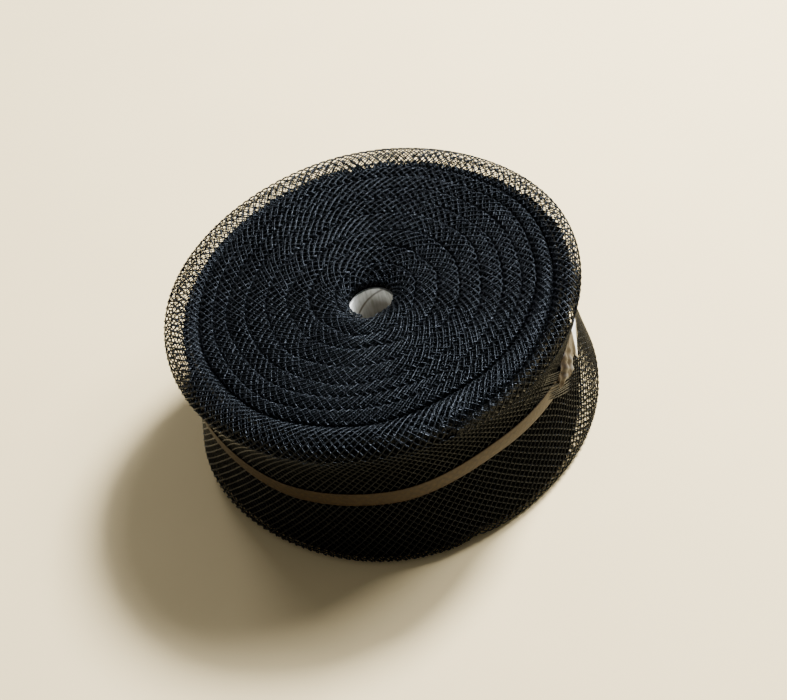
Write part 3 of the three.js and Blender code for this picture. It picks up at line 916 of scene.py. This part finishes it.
class NETROLL_OT_waist_tape(bpy.types.Operator):
    """Wraps the strip of packing tape round the waist, its last arc slack and crumpled"""

    bl_idname = "netroll.waist_tape"
    bl_label = "Waist Tape"

    def execute(self, context):
        settings = context.scene.netroll_tape
        half, film = settings.width * 500, settings.film * 500
        taut = TAPE_TAUT_RADIUS
        turned = np.concatenate([np.linspace(0, TAPE_SLACK_FROM, 260),
                                 np.linspace(TAPE_SLACK_FROM + 0.2, TAPE_TURNED, 180)])[:, None]
        angle = TAPE_START_ANGLE - turned
        across = np.linspace(-1, 1, 13)[None]
        low_radius, low_z, high_radius, high_z = (
            np.interp(turned, SLACK_TAPE[:, 0], SLACK_TAPE[:, column]) for column in (1, 2, 3, 4))
        share = (across + 1) / 2
        out = taut + low_radius * (1 - share) + high_radius * share + 0.25 * (1 - across**2)
        height = WAIST_Z + (low_z - half) * (1 - share) + (high_z + half) * share
        sag = 1 - smoothstep((np.abs(angle - SAG_ANGLE) - SAG_HALF_WIDTH) / SAG_FADE)
        height = height - SAG_DEPTH * sag
        out = out + (wall_radius(angle, height) - WAIST_RADIUS) * sag
        crumple = smoothstep((turned - 369) / 2)
        ridge = np.sin(np.radians(turned * 70) + 3.2 * across)
        ridge = ridge + 0.7 * np.sin(np.radians(turned * 113 + 50) - 5.1 * across)
        out = out + crumple * (1 - 0.4 * np.abs(across)) * 0.8 * ridge
        height = height + crumple * 0.5 * np.sin(np.radians(turned * 91) + 2 * across)
        ring = np.concatenate([polar(out + film, angle, height), polar(out - film, angle, height)[:, ::-1]], 1)
        rows, columns = ring.shape[:2]
        length = np.radians(turned) * taut
        uv = np.stack([length + 0 * across, half * across + 0 * length], -1)
        uv = np.concatenate([uv, uv[:, ::-1]], 1)
        side = np.arange(across.size - 1)
        cap = np.stack([side, side + 1, columns - 2 - side, columns - 1 - side], -1)
        piece = new_piece("packing_tape", ring.reshape(-1, 3), grid_quads(rows, columns, False, True),
                          np.concatenate([cap[:, ::-1], cap + (rows - 1) * columns]), uv=uv.reshape(-1, 2))
        # Where the tape is slack its colour goes pale: before the crumple (clear) this is painted glare on the
        # film's face to the key light; on the crumple's ridges (folded) it is partly the crumpled film's own silvery
        # look and partly painted glints.
        slack = smoothstep((turned - 358.8) / 1.2)
        clear = 1 - smoothstep((turned - 365.4 - 1.6 * (1 - share)) / 0.5)
        lower, before_end = 1 - smoothstep((share - 0.4) / 0.3), 1 - smoothstep((turned - 376) / 4)
        folded = 0.01 + crumple * lower * np.maximum(0, 0.03 + 0.07 * ridge) * before_end
        pale = np.clip(slack * (clear + (1 - clear) * folded), 0, 1)
        pale = np.concatenate([pale, pale[:, ::-1]], 1)
        give_attribute(piece, "crumpled", pale)
        finish_piece(piece, material_for("tape"), "tape", "waist_tape")
        return {"FINISHED"}


class NETROLL_OT_board_core(bpy.types.Operator):
    """Builds the spiral-wound board tube with the step where its lining laps"""

    bl_idname = "netroll.board_core"
    bl_label = "Board Core"

    def execute(self, context):
        settings = context.scene.netroll_core
        low, high = CORE_LOW.z * 1000, CORE_HIGH.z * 1000
        wall, ply = settings.wall * 1000, settings.ply_width * 1000
        angle = np.arange(0, 360, 3.0)[None]
        seen = high - 36  # the lining is drawn finely from here up
        levels = np.concatenate([np.linspace(low, seen, 16)[:-1], np.linspace(seen, high, 110)])[:, None]
        climb = ((levels - high) / ply + (angle - LINING_LAP_ANGLE) / 360) % 1
        step = 0.8 * (1 - smoothstep(climb / 0.35)) * smoothstep(climb / 0.008)
        inner = CORE_OUTER_RADIUS - wall + step
        top = polar(inner[-1:] + np.array([[0.25], [0.9], [wall - 0.9]]), angle, high)
        rows = [polar(inner, angle, levels), top,
                polar(CORE_OUTER_RADIUS, angle, np.linspace(high - 0.4, low + 0.4, 12)[:, None]),
                polar(CORE_OUTER_RADIUS - wall + 0.6, angle, low)]
        points = np.concatenate(rows)
        quads = grid_quads(*points.shape[:2], True, True)[:, ::-1]
        piece = new_piece("board_core_tube", points.reshape(-1, 3), quads)
        # The lap is the lining's real dark joint; the darkening that grows further down the tube is painted shade,
        # kept off the left wall near 155 degrees where the key light falls.
        bare = np.zeros(points.shape[:2])
        lap = np.exp(-((((climb + 0.5) % 1 - 0.5) * ply - 0.3) / 0.7) ** 2)
        painted_depth_shade = smoothstep((high - 1 - levels) / 16) * (1 - 0.9 * lobe(angle, 155, 40))
        bare[:len(levels)] = np.clip(0.75 * lap + 0.85 * painted_depth_shade, 0, 1)
        give_attribute(piece, "lap_and_painted_shade", bare)
        finish_piece(piece, material_for("board"), "core_board", "core_tube")
        return {"FINISHED"}


class NETROLL_OT_stage(bpy.types.Operator):
    """Lays the pale floor and sets the soft studio lights and the camera"""

    bl_idname = "netroll.stage"
    bl_label = "Stage"

    def execute(self, context):
        settings = context.scene.netroll_stage
        reach = 8000.0
        steps = np.linspace(-reach, reach, 5)
        x, y = np.meshgrid(steps, steps, indexing="ij")
        points = np.stack([x, y, 0 * x - 0.05], -1)
        floor = new_piece("floor", points.reshape(-1, 3), grid_quads(5, 5, False, False)[:, ::-1], smooth=False)
        floor.data.materials.append(material_for("floor"))

        world = bpy.data.worlds.new("studio")
        world.use_nodes = True
        world.node_tree.nodes.clear()
        sky = add_node(world.node_tree, "ShaderNodeBackground",
                       {"Color": linear("f0f3f8"), "Strength": settings.sky_strength})
        add_node(world.node_tree, "ShaderNodeOutputWorld", links={"Surface": (sky, "Background")})
        context.scene.world = world

        for name, place, size, power in (
            ("key_light", (1.21, 0.84, 1.64), 0.5, settings.key_power),
            ("side_softbox", (1.49, 0.32, 1.60), 0.6, 45.0),
            ("back_softbox", (-0.4, 1.9, 1.0), 0.8, 15.0),
        ):
            light = bpy.data.lights.new(name, "AREA")
            light.shape, light.size, light.energy = "DISK", size, power
            light.color = linear("f2f7ff")[:3]
            lamp = bpy.data.objects.new(name, light)
            context.scene.collection.objects.link(lamp)
            back = unit(np.array(place) - np.array([0, 0, 0.08]))
            side = unit(np.cross([0, 0, 1.0], back))
            turned = Matrix(np.column_stack([side, np.cross(back, side), back]).tolist()).to_4x4()
            turned.translation = place
            lamp.matrix_world = turned

        e, r = settings.elevation, settings.roll
        back = np.array([0, -np.cos(e), np.sin(e)])
        right, up = np.array([1.0, 0, 0]), np.array([0, np.sin(e), np.cos(e)])
        turned_right, turned_up = np.cos(r) * right + np.sin(r) * up, np.cos(r) * up - np.sin(r) * right
        camera = bpy.data.cameras.new("camera")
        camera.sensor_width, camera.lens = SENSOR_WIDTH, FOCAL_PIXELS / PICTURE_PIXELS * SENSOR_WIDTH
        camera.shift_x, camera.shift_y = (pixels / PICTURE_PIXELS for pixels in SHIFT_PIXELS)
        camera.clip_start, camera.clip_end = 0.05, 30.0
        eye = bpy.data.objects.new("camera", camera)
        context.scene.collection.objects.link(eye)
        placed = Matrix(np.column_stack([turned_right, turned_up, back]).tolist()).to_4x4()
        placed.translation = AXIS / 1000 + np.array([0, 0, AIM_HEIGHT]) + back * settings.distance
        eye.matrix_world = placed
        context.scene.camera = eye
        return {"FINISHED"}


class NETROLL_PT_sidebar(bpy.types.Panel):
    """Lists the operators in the order in which they build the roll"""

    bl_label = "Netting Roll"
    bl_idname = "NETROLL_PT_sidebar"
    bl_space_type = "VIEW_3D"
    bl_region_type = "UI"
    bl_category = "Netting Roll"

    def draw(self, context):
        for operator in OPERATORS:
            self.layout.operator(operator.bl_idname)
        for group in SETTINGS:
            for name in getattr(context.scene, group).bl_rna.properties.keys():
                if name not in ("rna_type", "name"):
                    self.layout.prop(getattr(context.scene, group), name)


SETTINGS = {
    "netroll_net": NetSettings,
    "netroll_tape": TapeSettings,
    "netroll_core": CoreSettings,
    "netroll_stage": StageSettings,
}
OPERATORS = (
    NETROLL_OT_stage,
    NETROLL_OT_packed_turns,
    NETROLL_OT_upper_folds,
    NETROLL_OT_inner_folds,
    NETROLL_OT_lower_folds,
    NETROLL_OT_outer_wall,
    NETROLL_OT_gathered_end,
    NETROLL_OT_waist_tape,
    NETROLL_OT_board_core,
)
MATERIALS = {}


def material_for(use):
    """The one material of each use, made when it is first asked for."""
    scene = bpy.context.scene
    if use not in MATERIALS:
        MATERIALS[use] = {
            "net": lambda: black_polyethylene(scene.netroll_net),
            "packed": lambda: packed_net(scene.netroll_net),
            "tape": lambda: packing_film(scene.netroll_tape, scene.netroll_net.mesh_pitch * 1000),
            "board": lambda: grey_board(scene.netroll_core),
            "floor": lambda: studio_floor(scene.netroll_stage),
        }[use]()
    return MATERIALS[use]


def register():
    """Registers the settings, the operators and the panel."""
    for name, group in SETTINGS.items():
        bpy.utils.register_class(group)
        setattr(bpy.types.Scene, name, bpy.props.PointerProperty(type=group))
    for operator in OPERATORS:
        bpy.utils.register_class(operator)
    bpy.utils.register_class(NETROLL_PT_sidebar)


def unregister():
    """Takes away what register added."""
    bpy.utils.unregister_class(NETROLL_PT_sidebar)
    for operator in reversed(OPERATORS):
        bpy.utils.unregister_class(operator)
    for name, group in reversed(SETTINGS.items()):
        delattr(bpy.types.Scene, name)
        bpy.utils.unregister_class(group)


def main():
    register()
    for operator in OPERATORS:
        group, name = operator.bl_idname.split(".")
        getattr(getattr(bpy.ops, group), name)()


if __name__ == "__main__":
    main()
